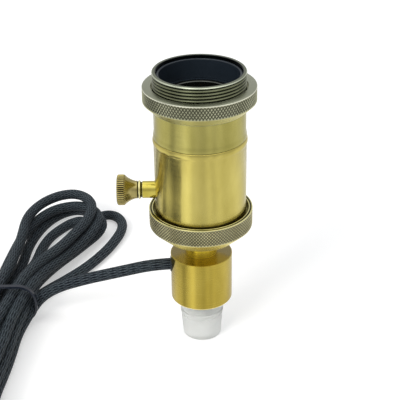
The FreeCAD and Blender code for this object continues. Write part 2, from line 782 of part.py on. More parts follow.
def make_plug_pin(side):
    """Pin with a rounded tip and a thinner root inside the plug."""
    x, _, z = plug_mouth
    x += side * pin_spacing / 2
    pin = rod_y(pin_radius, plug_front, plug_front + pin_length, x, z)
    tip = [edge for edge in pin.Edges if edge.BoundBox.YMin > plug_front and edge.BoundBox.YLength < pin_radius]
    root = rod_y(pin_root_radius, plug_front - pin_seat, plug_front, x, z)
    return pin.makeFillet(pin_tip_round, tip).fuse(root)


def main():
    hank = make_cord_hank()
    lead = tube(lead_route, cord_radius, "cord_lead").cut(hank)
    tail = tube(tail_route, cord_radius, "cord_tail").cut(hank)
    nodes = {
        "stopper": make_stopper(),
        "outlet_cup": make_outlet_cup(),
        "base_cap": make_base_cap(),
        "threaded_nipple": make_threaded_nipple(),
        "nipple_nut": make_nipple_nut(),
        "lower_shell": make_lower_shell(),
        "upper_sleeve": make_upper_sleeve(),
        "shade_ring": make_shade_ring(),
        "insulating_liner": make_insulating_liner(),
        "socket_base": make_socket_base(),
        "screw_shell": make_screw_shell(),
        "centre_contact": make_centre_contact(),
        "shell_contact": make_shell_contact(),
        "supply_contact": make_supply_contact(),
        "terminal_blocks": Part.makeCompound([make_terminal_block(side) for side in (-1, 1)]),
        "terminal_screws": Part.makeCompound([make_terminal_screw(side) for side in (-1, 1)]),
        "switch_body": make_switch_body(),
        "switch_rotor": make_switch_rotor(),
        "switch_shaft": make_switch_shaft(),
        "detent_spring": make_detent_spring(),
        "bushing_nut": make_bushing_nut(),
        "switch_bushing": make_switch_bushing(),
        "switch_knob": make_switch_knob(),
        "cord_bushing": make_cord_bushing(),
        "cord_grip": make_cord_grip(),
        "live_wire": make_core(1, "live_wire"),
        "neutral_wire": make_core(-1, "neutral_wire"),
        "cord_lead": lead,
        "cord_hank": hank,
        "cord_tie": make_cord_tie(),
        "cord_tail": tail,
        "plug_body": make_plug_body(),
        "plug_pins": Part.makeCompound([make_plug_pin(side) for side in (-1, 1)]),
    }
    os.makedirs("parts", exist_ok=True)
    for name, shape in nodes.items():
        solids = len(shape.Solids)
        print(name, "solids", solids, "valid", shape.isValid(), "volume", round(shape.Volume, 1))
        shape.exportStep("parts/" + name + ".step")


main()
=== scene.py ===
"""Look of the brass lamp holder: camera, cord and hank, light and floor, materials, knurls and threads.

Sizes of the object are in millimetres, as in the CAD, and turn into metres (MM) where Blender gets them.
"""
from collections import namedtuple
import bmesh
import bpy
import json
import math
from mathutils import Matrix, Vector


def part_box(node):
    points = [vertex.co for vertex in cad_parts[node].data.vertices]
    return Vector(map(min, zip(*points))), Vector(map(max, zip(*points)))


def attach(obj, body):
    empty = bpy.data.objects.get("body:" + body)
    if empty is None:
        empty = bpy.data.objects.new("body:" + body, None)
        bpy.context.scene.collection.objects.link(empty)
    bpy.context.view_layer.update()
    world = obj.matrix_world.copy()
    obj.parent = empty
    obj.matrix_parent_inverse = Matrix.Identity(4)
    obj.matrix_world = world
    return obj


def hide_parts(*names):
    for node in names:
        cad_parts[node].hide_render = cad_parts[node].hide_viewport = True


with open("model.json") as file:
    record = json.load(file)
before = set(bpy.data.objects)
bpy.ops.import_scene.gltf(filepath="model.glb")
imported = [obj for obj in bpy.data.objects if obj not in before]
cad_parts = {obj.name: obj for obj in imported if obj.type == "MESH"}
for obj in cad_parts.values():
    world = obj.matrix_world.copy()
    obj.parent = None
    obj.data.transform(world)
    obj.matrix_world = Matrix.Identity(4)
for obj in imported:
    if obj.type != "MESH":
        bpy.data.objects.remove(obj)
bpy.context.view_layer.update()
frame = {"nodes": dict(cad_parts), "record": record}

MM = 0.001
FULL_TURN = 2 * math.pi
WHITE = (1, 1, 1, 1)


# ---------------------------------------------------------------- helpers

def srgb(red, green, blue):
    """Linear colour, with alpha, from 0 to 255 screen values."""
    linear = []
    for value in (red, green, blue):
        share = value / 255
        linear.append(share / 12.92 if share <= 0.04045 else ((share + 0.055) / 1.055) ** 2.4)
    return (*linear, 1.0)


def corners(node_name):
    """Lowest and highest corner of a CAD node, in millimetres."""
    return [[round(value / MM, 2) for value in corner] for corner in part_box(node_name)]


def centre(node_name):
    """Middle of a CAD node's box, in millimetres."""
    return [round((low + high) / 2, 2) for low, high in zip(*corners(node_name))]


def link_object(name, data):
    obj = bpy.data.objects.new(name, data)
    bpy.context.scene.collection.objects.link(obj)
    return obj


class Graph:
    """Shader nodes of a material or a world, added by short calls."""

    def __init__(self, owner):
        owner.use_nodes = True
        self.nodes, self.links = owner.node_tree.nodes, owner.node_tree.links

    def put(self, socket, value):
        """Set a socket to a fixed value, or link it to another node's output."""
        if isinstance(value, bpy.types.NodeSocket):
            self.links.new(value, socket)
        elif value is not None:
            socket.default_value = value

    def add(self, kind, inputs=None, **settings):
        """New node with settings, and with inputs by socket name or number."""
        node = self.nodes.new("ShaderNode" + kind)
        for name, value in settings.items():
            setattr(node, name, value)
        for socket, value in (inputs or {}).items():
            self.put(node.inputs[socket], value)
        return node

    def math(self, operation, first, second=None):
        return self.add("Math", {0: first, 1: second}, operation=operation).outputs[0]

    def product(self, first, second):
        """Two vectors or greys multiplied part by part."""
        return self.add("VectorMath", {0: first, 1: second}, operation="MULTIPLY").outputs[0]

    def parts(self, vector):
        """X, Y and Z outputs of a vector."""
        return self.add("SeparateXYZ", {0: vector}).outputs

    def span(self, value, low, high, to_low=0.0, to_high=1.0):
        """Value spread from one range to another, and held at both ends."""
        return self.add("MapRange", {"Value": value, "From Min": low, "From Max": high,
                                     "To Min": to_low, "To Max": to_high}).outputs["Result"]

    def levels(self, value, stops):
        """Grey that eases from stop to stop; a stop is a place from 0 to 1 and its level."""
        node = self.add("ValToRGB", {0: value})
        node.color_ramp.interpolation = "EASE"
        elements = node.color_ramp.elements
        while len(elements) < len(stops):
            elements.new(0.5)
        for element, stop in zip(elements, stops):
            element.position = stop[0]
        for element, stop in zip(elements, stops):
            element.color = (stop[1], stop[1], stop[1], 1)
        return node.outputs["Color"]

    def choose(self, share, first, second):
        """Shader that goes from the first to the second with the share."""
        return self.add("MixShader", {0: share, 1: first, 2: second}).outputs[0]

    def background(self, colour, strength=1.0):
        return self.add("Background", {"Color": colour, "Strength": strength}).outputs[0]


# ---------------------------------------------------------------- camera

CAMERA_PLACE = (-0.00032, -0.404, 0.2844)
CAMERA_LENS = 94.53      # for a sensor 36 wide
CAMERA_DROP = 28.11      # degrees that it looks down
CAMERA_ROLL = -0.672     # degrees


def make_camera():
    """Above and in front of the holder, looking along +Y and down, with a slight roll."""
    data = bpy.data.cameras.new("camera")
    data.sensor_width = 36
    data.lens = CAMERA_LENS
    camera = link_object("camera", data)
    tilt = Matrix.Rotation(math.radians(90 - CAMERA_DROP), 4, "X")
    roll = Matrix.Rotation(math.radians(CAMERA_ROLL), 4, "Z")
    camera.matrix_world = Matrix.Translation(CAMERA_PLACE) @ tilt @ roll
    bpy.context.scene.camera = camera


make_camera()


# ---------------------------------------------------------------- cord and its hank

CORD_DIAMETER = 5.3
CORD_LENGTH = 2.37       # metres
TIE_Y = centre("cord_tie")[1]
OUTLET_HEIGHT = centre("cord_bushing")[2]

# From the outlet to the tie, as (x, y, z) that the cord bends towards.
LEAD = [(-9.0, 0, OUTLET_HEIGHT), (-20, 0.3, 36.2), (-38, 2.5, 30.6), (-54, 6.3, 24.6), (-68.5, 12.2, 16.4),
        (-77, 13.8, 9.6)]
# Five turns follow: down from the tie to a lower fold, up through the tie, and over an upper loop back to it.
DOWN_OUTER = [(-82.0, TIE_Y, 4.0), (-85.3, -6, 2.9), (-85.7, -20, 2.7), (-86.6, -34, 2.7), (-88.6, -52, 2.7)]
UP_FLOOR = [(-114, -42, 2.7), (-100, -11, 2.9), (-92.8, TIE_Y, 4.0), (-89, 25, 2.8), (-84.5, 38, 2.7),
            (-79, 54, 2.7), (-70, 70.5, 2.7), (-63, 83, 2.7), (-59.6, 94, 2.7)]
OVER_FLOOR = [(-56.6, 104.6, 2.7), (-51.3, 107.6, 2.7), (-46, 104.8, 2.7), (-42.7, 97.5, 2.7), (-42.9, 89, 2.7),
              (-45, 80.5, 2.7), (-49.3, 68.5, 2.7), (-57.5, 53, 2.7), (-67, 40.5, 2.7), (-76, 30.5, 2.7),
              (-82.5, 21, 2.9)]
DOWN_FLOOR = [(-87.4, TIE_Y, 4.0), (-90.4, -10, 2.9), (-91.2, -30, 2.7), (-93.4, -54, 2.7)]
UP_INNER = [(-109, -42, 3.0), (-99.6, -12, 7.0), (-93.2, TIE_Y, 9.5), (-90.6, 24, 8.8), (-87.0, 37, 8.0),
            (-84.4, 49, 6.0), (-84.0, 61, 3.6), (-83.6, 71, 2.8)]
OVER_INNER = [(-80.8, 83, 2.7), (-76, 91.5, 2.7), (-70.5, 98.3, 2.9), (-64.5, 97.5, 4.6), (-61.2, 89, 6.8),
              (-63.2, 80, 8.0), (-68.3, 71.3, 8.0), (-73, 61.7, 8.0), (-77.8, 51.5, 8.4), (-81.4, 40.5, 9.2),
              (-84.9, 25, 9.8)]
DOWN_INNER = [(-87.8, TIE_Y, 9.5), (-90.8, -12, 8.4), (-91.4, -30, 8.0), (-93.6, -54, 8.0)]
UP_LOW = [(-111.5, -40, 7.8), (-104.8, -12, 4.6), (-98.2, TIE_Y, 4.0), (-96.4, 28, 3.4), (-92.8, 44, 3.1),
          (-91.2, 58, 3.1), (-91, 70.5, 3.1)]
OVER_LOW = [(-88.8, 84.5, 3.1), (-84.3, 98, 3.1), (-78.5, 107, 3.2), (-71.5, 110.8, 3.8), (-65, 107.8, 5.2),
            (-59, 101, 7.0), (-54, 93.5, 7.6), (-52.6, 87, 6.8), (-55.5, 81.5, 4.8), (-60.3, 76, 3.4),
            (-65.5, 67.5, 3.1), (-70.5, 59, 3.3), (-75, 50, 4.0), (-79, 39, 5.2), (-81.8, 27, 7.2)]
DOWN_LOW = [(-82.6, TIE_Y, 9.3), (-85.6, -10, 8.2), (-86.2, -28, 8.0), (-88.6, -52, 8.0)]
UP_MIDDLE = [(-116, -40, 8.8), (-106.4, -11, 9.4), (-98.8, TIE_Y, 9.5), (-98.2, 28, 9.2), (-97.2, 44, 8.6),
             (-95.8, 58, 8.4), (-94.6, 68, 8.4)]
OVER_MIDDLE = [(-92.8, 78, 8.4), (-88.8, 90.5, 8.4), (-83, 100.5, 8.4), (-76, 106, 8.4), (-67.5, 106.3, 9.2),
               (-60.3, 100.5, 10.6), (-55.6, 93, 11.2), (-54.4, 86, 11.0), (-56.5, 79, 9.9), (-61, 70.1, 8.2),
               (-66.6, 59.6, 7.8), (-71.5, 51, 8.2), (-76, 41, 9.4), (-80, 28, 11.8)]
DOWN_MIDDLE = [(-83.4, TIE_Y, 14.5), (-86.8, -10, 13.6), (-87.8, -28, 13.3), (-90.6, -54, 13.2)]
UP_TOP = [(-112.5, -42, 13.2), (-103, -12, 14.2), (-97, TIE_Y, 14.9), (-95.2, 24, 14.8), (-93.8, 34, 14.2),
          (-93.4, 46, 13.6), (-92.5, 58, 13.3), (-92.6, 72, 13.2)]
OVER_TOP = [(-92.8, 82, 13.2), (-91, 92.5, 13.2), (-86.5, 102.5, 13.2), (-79.5, 110, 13.2), (-71.5, 112.6, 13.4),
            (-65, 109, 14.0), (-60, 101, 14.8), (-58.2, 92.5, 14.8), (-59.3, 83, 14.6), (-62.3, 74.5, 14.0),
            (-67.2, 63.8, 13.3), (-71.8, 54, 13.2), (-77.2, 45, 13.4), (-81.2, 36.5, 14.0), (-84.2, 26, 15.0)]
# The last turn ends at the tie and goes on to the plug.
DOWN_TOP = [(-88.4, TIE_Y, 15.3), (-92, -14, 16.2), (-95.5, -32, 18.2), (-101, -47, 19.2)]
TAIL = [(-108.5, -58, 18.8), (-116.5, -64.5, 17.0), (-124, -64, 12.0), (-127.6, -55, 6.8), (-127, -42, 5.2),
        (-125, -26, 6.6), (-125, -6.0, 6.85)]

FLOOR_LAYER, SECOND_LAYER, THIRD_LAYER = 2.7, 8.0, 13.2      # heights of the cord's middle in the folds
OUTER_FOLD, INNER_FOLD, THIRD_FOLD = 16.2, 10.9, 14.0        # their half widths
FOLD_CENTRE = (-104.3, -73.0)
FOLD_STEPS = 4


def lower_fold(half_width, height):
    """Control points round the half circle at the hank's lower end, from its right side to its left."""
    step = math.pi / FOLD_STEPS
    reach = half_width / math.cos(step / 2)
    points = []
    for number in range(FOLD_STEPS):
        angle = -(number + 0.5) * step
        points.append((FOLD_CENTRE[0] + reach * math.cos(angle), FOLD_CENTRE[1] + reach * math.sin(angle), height))
    return points


def cord_points():
    """The whole route from the outlet, through the hank's five turns, to the plug."""
    return (LEAD
            + DOWN_OUTER + lower_fold(OUTER_FOLD, FLOOR_LAYER) + UP_FLOOR + OVER_FLOOR
            + DOWN_FLOOR + lower_fold(INNER_FOLD, FLOOR_LAYER) + UP_INNER + OVER_INNER
            + DOWN_INNER + lower_fold(INNER_FOLD, SECOND_LAYER) + UP_LOW + OVER_LOW
            + DOWN_LOW + lower_fold(OUTER_FOLD, SECOND_LAYER) + UP_MIDDLE + OVER_MIDDLE
            + DOWN_MIDDLE + lower_fold(THIRD_FOLD, THIRD_LAYER) + UP_TOP + OVER_TOP
            + DOWN_TOP + TAIL)


def make_cord():
    """Round tube along the route. Its radius is each point's own, so that Blender's box of the curve is right."""
    points = cord_points()
    data = bpy.data.curves.new("cord", "CURVE")
    data.dimensions = "3D"
    data.bevel_depth = 1.0
    data.bevel_resolution = 5
    data.resolution_u = 6
    spline = data.splines.new("NURBS")
    spline.points.add(len(points) - 1)
    for slot, point in zip(spline.points, points):
        slot.co = (*(value * MM for value in point), 1)
        slot.radius = CORD_DIAMETER / 2 * MM
    spline.use_endpoint_u = True
    spline.order_u = 3
    return link_object("cord", data)


cord = make_cord()
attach(cord, "holder")
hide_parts("cord_lead", "cord_hank", "cord_tail")


# ---------------------------------------------------------------- world, lights and floor

# Brightness of the studio that gloss shows, by the angle in degrees round the object from the camera's side.
STUDIO = [(-180, 0.95), (-146, 0.8), (-112, 1.15), (-86, 1.05), (-70, 0.62), (-54, 1.05), (-35, 1.4), (-16, 0.95),
          (8, 0.8), (24, 1.02), (34, 0.88), (48, 1.05), (62, 0.96), (100, 1.08), (140, 0.86), (180, 0.95)]

# The same by the sine of the height over the horizon: a soft lamp overhead, and less light from straight ahead.
STUDIO_HEIGHT = [(-1.0, 1.02), (-0.3, 1.02), (0.0, 0.86), (0.3, 0.62), (0.5, 0.66), (0.7, 1.0), (0.85, 1.5),
                 (1.0, 1.5)]

SOFT_COLOUR, SOFT_STRENGTH = (0.95, 0.97, 1.0, 1), 0.55      # what lights the faces without gloss
LAMP_AIM = Vector((0, 0, 0.07))
FLOOR_HALF = 3.0         # metres
FLOOR_GREY = (0.7, 0.7, 0.7, 1)
FLOOR_LIFT = 0.42        # glow that brings the lit floor up to white for the camera


def make_world():
    """White for the camera and behind clear plastic, a plain soft light, and for gloss a studio with bands."""
    world = bpy.data.worlds.new("studio")
    bpy.context.scene.world = world
    graph = Graph(world)
    graph.nodes.clear()
    x, y, z = graph.parts(graph.add("TexCoord").outputs["Generated"])
    angle = graph.math("ARCTAN2", x, graph.math("MULTIPLY", y, -1.0))
    around = graph.levels(graph.span(angle, -math.pi, math.pi),
                          [(degrees / 360 + 0.5, level) for degrees, level in STUDIO])
    upward = graph.levels(graph.span(z, -1.0, 1.0), [(sine / 2 + 0.5, level) for sine, level in STUDIO_HEIGHT])
    bands = graph.background(graph.product(around, upward))
    white = graph.background(WHITE)
    rays = graph.add("LightPath").outputs
    lit = graph.choose(rays["Is Glossy Ray"], graph.background(SOFT_COLOUR, SOFT_STRENGTH), bands)
    through = graph.choose(rays["Is Transmission Ray"], lit, white)
    graph.add("OutputWorld", {"Surface": graph.choose(rays["Is Camera Ray"], through, white)})


def make_light(name, place, size, power, colour=(1, 1, 1)):
    """Soft lamp for what is not glossy; gloss shows the studio."""
    data = bpy.data.lights.new(name, "AREA")
    data.shape = "RECTANGLE"
    data.size, data.size_y = size
    data.energy = power
    data.color = colour
    lamp = link_object(name, data)
    lamp.rotation_euler = (LAMP_AIM - Vector(place)).to_track_quat("-Z", "Y").to_euler()
    lamp.location = place
    lamp.visible_glossy = False


def make_floor():
    """White floor that takes the shadow, and lets gloss see the studio below it."""
    mesh = bpy.data.meshes.new("floor")
    half = FLOOR_HALF
    mesh.from_pydata([(-half, -half, 0), (half, -half, 0), (half, half, 0), (-half, half, 0)], [], [(0, 1, 2, 3)])
    floor = link_object("floor", mesh)
    material = bpy.data.materials.new("floor")
    graph = Graph(material)
    graph.nodes.clear()
    rays = graph.add("LightPath").outputs
    paper = graph.add("BsdfDiffuse", {"Color": FLOOR_GREY}).outputs[0]
    lift = graph.math("MULTIPLY", rays["Is Camera Ray"], FLOOR_LIFT)
    glow = graph.add("Emission", {"Color": WHITE, "Strength": lift}).outputs[0]
    lifted = graph.add("AddShader", {0: paper, 1: glow}).outputs[0]
    clear = graph.add("BsdfTransparent").outputs[0]
    graph.add("OutputMaterial", {"Surface": graph.choose(rays["Is Glossy Ray"], lifted, clear)})
    mesh.materials.append(material)


make_world()
make_light("key", (-1.8, -2.25, 1.98), (1.5, 1.5), 81, (1.0, 0.98, 0.95))
make_light("fill", (2.1, -1.5, 1.8), (1.8, 1.8), 9)
make_light("top", (-0.3, 0.3, 3.3), (2.1, 1.5), 20)
make_floor()


# ---------------------------------------------------------------- materials

# Colour of a turned piece between two places along X or Z, or between two distances from the Z axis ("R"), in
# millimetres, which fades out over an edge on both sides. Most zones below are painted highlights and painted
# shade.
Zone = namedtuple("Zone", "along low high edge colour")

PAST_ALL = 140           # millimetres, beyond any piece
LINE_GRAIN, LINE_SPREAD = 4200, 50       # lathe lines per metre across them, and changes per metre along them
LINE_DEPTH = 0.005 * MM
BRUSHED_STRETCH = 0.85
CLOUD_GRAIN = (80, 80, 34)               # grains per metre on each axis, here and in the next four
MOTTLE_GRAIN = (400, 400, 400)
FLOW_GRAIN = (220, 220, 220)
FIBRE_GRAIN = (2600, 2600, 2600)
PATCH_GRAIN = (70, 70, 70)
MOTTLE_DEPTH = 0.01 * MM
MOTTLE_SHADE = 0.85      # share of its colour that a mottle keeps
YARNS = 14.0             # slanting yarns round the cord in each direction
YARN_LAY = 0.11          # metres of cord for one turn of a yarn
BRAID_DEPTH = 0.25 * MM


class Shader(Graph):
    """A material with one Principled shader."""

    def __init__(self, name, colour, roughness, metallic=0.0):
        self.material = bpy.data.materials.new(name)
        super().__init__(self.material)
        self.principled = self.nodes["Principled BSDF"]
        self.feed("Base Color", colour)
        self.feed("Roughness", roughness)
        self.feed("Metallic", metallic)
        self.place = self.add("TexCoord").outputs

    def feed(self, socket, value):
        """Give the Principled shader a fixed value or another node's output."""
        self.put(self.principled.inputs[socket], value)

    def noise(self, scale, detail):
        """Noise with so many grains per metre on each axis."""
        place = self.product(self.place["Object"], scale)
        node = self.add("TexNoise", {"Vector": place, "Scale": 1.0, "Detail": detail, "Roughness": 0.55})
        return node.outputs["Fac"]

    def blend(self, share, first, second):
        """Mix of two colours, each fixed or from a node, by a share."""
        return self.add("Mix", {"Factor": share, 6: first, 7: second}, data_type="RGBA").outputs[2]

    def bump(self, height, distance):
        self.feed("Normal", self.add("Bump", {"Height": height, "Distance": distance}).outputs["Normal"])

    def zone_places(self):
        """Place along X and Z, and distance from the Z axis, by a zone's letter."""
        x, y, z = self.parts(self.place["Object"])
        squares = self.math("ADD", self.math("MULTIPLY", x, x), self.math("MULTIPLY", y, y))
        return {"X": x, "Z": z, "R": self.math("SQRT", squares)}

    def brushed_round(self, amount):
        """Stretch the highlights across the lathe lines of a piece turned about a vertical axis."""
        self.feed("Tangent", self.add("Tangent", direction_type="RADIAL", axis="Z").outputs[0])
        self.feed("Anisotropic", amount)
        self.feed("Anisotropic Rotation", 0.25)


def turned_brass(name, colour, shade, roughness, axis="Z", top=None, sunk=None, zones=()):
    """Lathe-turned brass: fine rings round the axis, cloudy lacquer from colour to shade, uneven gloss.

    The flat top may have a colour of its own, painted shade on the upward faces, and so may the bottoms of a
    relief (sunk), painted dark as painted shade, and the zones, most of them painted highlights and painted shade.
    """
    shader = Shader(name, colour, roughness, 1.0)
    line_scale = (LINE_SPREAD, LINE_SPREAD, LINE_GRAIN) if axis == "Z" else (LINE_GRAIN, LINE_SPREAD, LINE_SPREAD)
    lines = shader.noise(line_scale, 2.0)
    tone = shader.blend(shader.span(shader.noise(CLOUD_GRAIN, 4.0), 0.35, 0.68), colour, shade)
    places = shader.zone_places() if zones else {}
    for zone in zones:
        rising = shader.span(places[zone.along], (zone.low - zone.edge) * MM, zone.low * MM)
        falling = shader.span(places[zone.along], zone.high * MM, (zone.high + zone.edge) * MM, 1.0, 0.0)
        tone = shader.blend(shader.math("MINIMUM", rising, falling), tone, zone.colour)
    # Upward faces take the top colour: painted shade.
    if top:
        upward = shader.parts(shader.place["Normal"])[2]
        tone = shader.blend(shader.span(upward, 0.8, 0.97), tone, top)
    # Bottoms of a relief take the sunk colour: painted shade in the grooves.
    if sunk:
        depth = shader.add("Attribute", attribute_name="sunk").outputs["Fac"]
        tone = shader.blend(shader.span(depth, 0.15, 0.95), tone, sunk)
    shader.feed("Base Color", tone)
    shader.feed("Roughness", shader.span(lines, 0.3, 0.7, roughness - 0.04, roughness + 0.06))
    shader.bump(lines, LINE_DEPTH)
    if axis == "Z":
        shader.brushed_round(BRUSHED_STRETCH)
    return shader.material


def plain_material(name, colour, roughness, metallic=0.0):
    """Moulded, plated or rolled finish with a slight mottle."""
    shader = Shader(name, colour, roughness, metallic)
    mottle = shader.noise(MOTTLE_GRAIN, 4.0)
    darker = (*(value * MOTTLE_SHADE for value in colour[:3]), 1.0)
    shader.feed("Base Color", shader.blend(mottle, darker, colour))
    shader.feed("Roughness", shader.span(mottle, 0.3, 0.7, roughness - 0.05, roughness + 0.05))
    shader.bump(mottle, MOTTLE_DEPTH)
    return shader.material


def clear_plastic_material():
    """Milky see-through plastic with faint flow marks."""
    shader = Shader("clear_plastic", srgb(236, 238, 234), 0.3)
    shader.feed("Transmission Weight", 0.55)
    shader.feed("IOR", 1.46)
    marks = shader.noise(FLOW_GRAIN, 2.0)
    shader.feed("Roughness", shader.span(marks, 0.3, 0.7, 0.3, 0.45))
    shader.feed("Base Color", shader.blend(marks, srgb(226, 228, 224), srgb(244, 245, 242)))
    return shader.material


def braid_material():
    """Round textile braid: two sets of slanting yarns that cross, their crests lightened by a painted sheen and
    the gaps between them painted dark as painted shade. UV runs along the cord and round it.
    """
    shader = Shader("braided_cord", srgb(30, 36, 42), 0.65)
    shader.feed("Specular IOR Level", 0.16)
    along, around = shader.parts(shader.place["UV"])[:2]
    yarns = shader.math("MULTIPLY", around, YARNS)
    turned_yarns = shader.math("MULTIPLY", along, YARNS * CORD_LENGTH / YARN_LAY)
    yarn_sets = []
    for direction in ("ADD", "SUBTRACT"):
        phase = shader.math("MULTIPLY", shader.math(direction, yarns, turned_yarns), FULL_TURN / 2)
        yarn_sets.append(shader.math("ABSOLUTE", shader.math("SINE", phase)))
    rib = shader.math("MULTIPLY", *yarn_sets)
    thread = shader.math("MAXIMUM", *(shader.math("POWER", yarn_set, 8.0) for yarn_set in yarn_sets))
    fibre = shader.noise(FIBRE_GRAIN, 2.0)
    patches = shader.noise(PATCH_GRAIN, 2.0)
    # Crests of the yarns: a random fibre tone, lightened as a painted sheen.
    yarn_and_sheen = shader.blend(shader.span(fibre, 0.35, 0.65), srgb(42, 50, 57), srgb(96, 105, 111))
    # Between the yarns: painted shade, in random patches.
    painted_gap_shade = shader.blend(shader.span(patches, 0.4, 0.6), srgb(12, 17, 24), srgb(24, 31, 35))
    shader.feed("Base Color", shader.blend(shader.span(thread, 0.2, 1.0), painted_gap_shade, yarn_and_sheen))
    shader.bump(rib, BRAID_DEPTH)
    return shader.material


brushed_brass = turned_brass("brushed_brass", srgb(202, 188, 106), srgb(184, 170, 88), 0.2)
# Sleeve brass: the thread's grooves (sunk) are painted nearly black as painted shade.
sleeve_brass = turned_brass(
    "sleeve_brass", srgb(176, 168, 98), srgb(156, 148, 78), 0.2, sunk=srgb(16, 20, 16),
    zones=[Zone("Z", 113.0, PAST_ALL, 1.0, srgb(128, 132, 104)),     # dull thread
           Zone("Z", 128.35, PAST_ALL, 0.1, srgb(206, 212, 190)),    # bright edge of the lip: painted highlight
           Zone("Z", 128.74, PAST_ALL, 0.03, srgb(126, 132, 112)),   # top of the lip: painted greyer, a painted reflection
           Zone("R", 0, 18.3, 0.1, srgb(26, 32, 34))])               # inside: painted dark, painted shade
# Knurled brass: the grooves (sunk) are painted dark as painted shade, and the pale brass of the tips is lightened
# by a painted highlight.
knurled_brass = turned_brass(
    "knurled_brass", srgb(196, 197, 166), srgb(162, 163, 134), 0.3, sunk=srgb(26, 27, 18),
    zones=[Zone("Z", 122.2, 130, 0.06, srgb(240, 240, 220)),         # bright edge over the knurl: painted highlight
           Zone("Z", 122.48, 130, 0.03, srgb(170, 174, 152)),        # flat top: painted greyer, a painted reflection
           Zone("Z", 100, 116.4, 0.3, srgb(214, 208, 146))])         # cone under the knurl: smooth brass, painted brighter as a painted highlight
# Cap brass: the knurl's grooves (sunk) are painted dark as painted shade.
cap_brass = turned_brass(
    "cap_brass", srgb(214, 208, 164), srgb(186, 178, 132), 0.26, sunk=srgb(44, 43, 28),
    zones=[Zone("Z", 65.5, 70, 0.12, srgb(236, 230, 166)),           # bright rim: painted highlight
           Zone("R", 21.45, 22.12, 0.03, srgb(74, 70, 34)),          # groove in the rim: painted shade
           Zone("R", 0, 20.95, 0.02, srgb(120, 112, 60)),            # inside: painted darker, painted shade
           Zone("Z", 40, 57.8, 0.3, srgb(238, 224, 128)),            # cone under the knurl: smooth brass, painted brighter as a painted highlight
           Zone("Z", 40, 52.0, 0.2, srgb(240, 214, 74))])            # collar
gold_brass = turned_brass("gold_brass", srgb(206, 184, 84), srgb(186, 162, 62), 0.22)
# Cup brass: the upward top face is painted darker as painted shade.
cup_brass = turned_brass(
    "cup_brass", srgb(188, 168, 76), srgb(172, 151, 60), 0.22, top=srgb(150, 136, 92),
    zones=[Zone("Z", 10, 20.5, 0.15, srgb(244, 230, 160))])          # bright lower edge: painted highlight
# Knob brass: the serrations' grooves (sunk) are painted dark as painted shade.
knob_brass = turned_brass(
    "knob_brass", srgb(190, 176, 116), srgb(158, 146, 90), 0.2, "X", sunk=srgb(26, 22, 10),
    zones=[Zone("X", -26.8, -26.1, 0.05, srgb(252, 244, 180)),       # ring at its foot: painted highlight
           Zone("X", -27.4, -26.95, 0.05, srgb(70, 66, 26)),         # groove beyond the ring: painted shade
           Zone("X", -26.0, -25.0, 0.02, srgb(90, 84, 34))])         # hub: painted dark, painted shade in the gap to the bushing
stem_brass = turned_brass(
    "stem_brass", srgb(228, 214, 112), srgb(196, 178, 74), 0.16, "X",
    zones=[Zone("X", -26, -25.1, 0.1, srgb(252, 246, 190))])         # bright end: painted highlight
# The screw shell's nickel is painted dark: painted shade of the deep well it sits in.
nickel_painted_dark = plain_material("nickel_brass", srgb(78, 80, 76), 0.26, 1.0)
braided_cord = braid_material()
cord.data.materials.append(braided_cord)

SLOT_MATERIALS = {
    "brushed_brass": brushed_brass,
    "knurled_brass": knurled_brass,
    "gold_brass": gold_brass,
    "nickel_brass": nickel_painted_dark,
    "contact_bronze": plain_material("contact_bronze", srgb(214, 160, 96), 0.32, 1.0),
    "zinc_steel": plain_material("zinc_steel", srgb(196, 200, 200), 0.3, 1.0),
    "black_plastic": plain_material("black_plastic", srgb(30, 38, 46), 0.36),
    "ceramic": plain_material("ceramic", srgb(232, 228, 216), 0.25),
    "clear_plastic": clear_plastic_material(),
    "braided_cord": braided_cord,
    "core_insulation": plain_material("core_insulation", srgb(150, 96, 50), 0.45),
    "tie_plastic": plain_material("tie_plastic", srgb(28, 34, 46), 0.3),
    "plug_plastic": plain_material("plug_plastic", srgb(34, 36, 38), 0.5),
    "pin_nickel": plain_material("pin_nickel", srgb(214, 212, 206), 0.2, 1.0)}


def dress(node_name, material):
    mesh = frame["nodes"][node_name].data
    mesh.materials.clear()
    mesh.materials.append(material)


for part in frame["record"]["subparts"]:
    dress(part["node"], SLOT_MATERIALS[part["material_slot"]])
dress("outlet_cup", cup_brass)
dress("switch_bushing", stem_brass)


# ---------------------------------------------------------------- reliefs

# A relief is a function of (radius, height, angle) that gives how far a turned wall is sunk there.

def wave(turns):
    """Triangle wave from 0 to 1 and back in one turn."""
    return 1 - abs(2 * (turns % 1) - 1)


def fade(height, low, high, edge):
    """1 between two heights, easing to 0 at both over an edge."""
    return max(0.0, min(1.0, (height - low) / edge, (high - height) / edge))


def diamond_knurl(face, low, high, starts, pitch, depth):
    """Relief of crossed grooves on the wall at a radius, between two heights."""
    steepness, edge = 1.15, 0.35

    def sunk(radius, height, angle):
        if radius < face - 0.01:
            return 0.0
        around, along = starts * angle / FULL_TURN, height / pitch
        peak = min(wave(around + along), wave(around - along))
        return depth * (1 - min(1.0, steepness * peak)) * fade(height, low, high, edge)
    return sunk


def straight_knurl(face, low, high, starts, depth):
    """Relief of grooves along the axis, on the wall at a radius and its rounded edges."""
    steepness, edge, rounding = 1.5, 0.45, 0.9

    def sunk(radius, height, angle):
        if radius < face - rounding:
            return 0.0
        peak = wave(starts * angle / FULL_TURN)
        return depth * (1 - min(1.0, steepness * peak)) * fade(height, low, high, edge)
    return sunk


def helical_thread(low_radius, high_radius, low, high, pitch, depth, edge):
    """Relief of one helical groove on the walls between two radii."""
    def sunk(radius, height, angle):
        if not low_radius <= radius <= high_radius:
            return 0.0
        turn = height / pitch - angle / FULL_TURN
        return depth * (0.5 - 0.5 * math.cos(FULL_TURN * turn)) * fade(height, low, high, edge)
    return sunk


# ---------------------------------------------------------------- turned pieces

